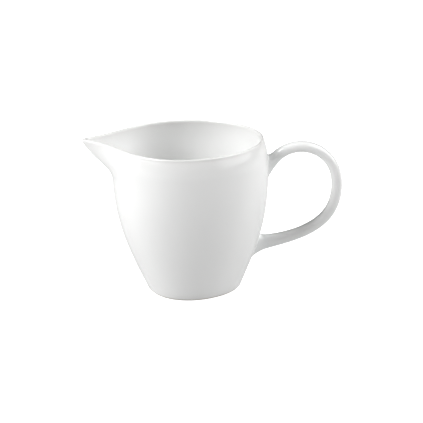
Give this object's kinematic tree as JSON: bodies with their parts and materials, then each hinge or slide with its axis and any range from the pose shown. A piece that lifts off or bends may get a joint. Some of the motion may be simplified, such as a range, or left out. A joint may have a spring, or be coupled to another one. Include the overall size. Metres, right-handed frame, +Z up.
{
  "type": "cream jug",
  "caption": "Small porcelain jug for cream or milk: a thin tapering bowl with a pulled pouring lip, a softly triangular foot and a round loop handle opposite the lip.",
  "frame": {"origin": "centre of the foot, on the face that the jug stands on", "axes": "+Z up, +X out to the handle, and the pouring lip points along -X"},
  "size_m": [0.1311, 0.0816, 0.0785],
  "materials": {
    "glazed_porcelain": "gloss",
    "unglazed_porcelain": "matte"
  },
  "bodies": {
    "root": {"body": "glazed_porcelain", "foot_ring": "unglazed_porcelain", "handle": "glazed_porcelain", "upper_handle_joint": "glazed_porcelain", "lower_handle_joint": "glazed_porcelain"}
  },
  "joints": []
}
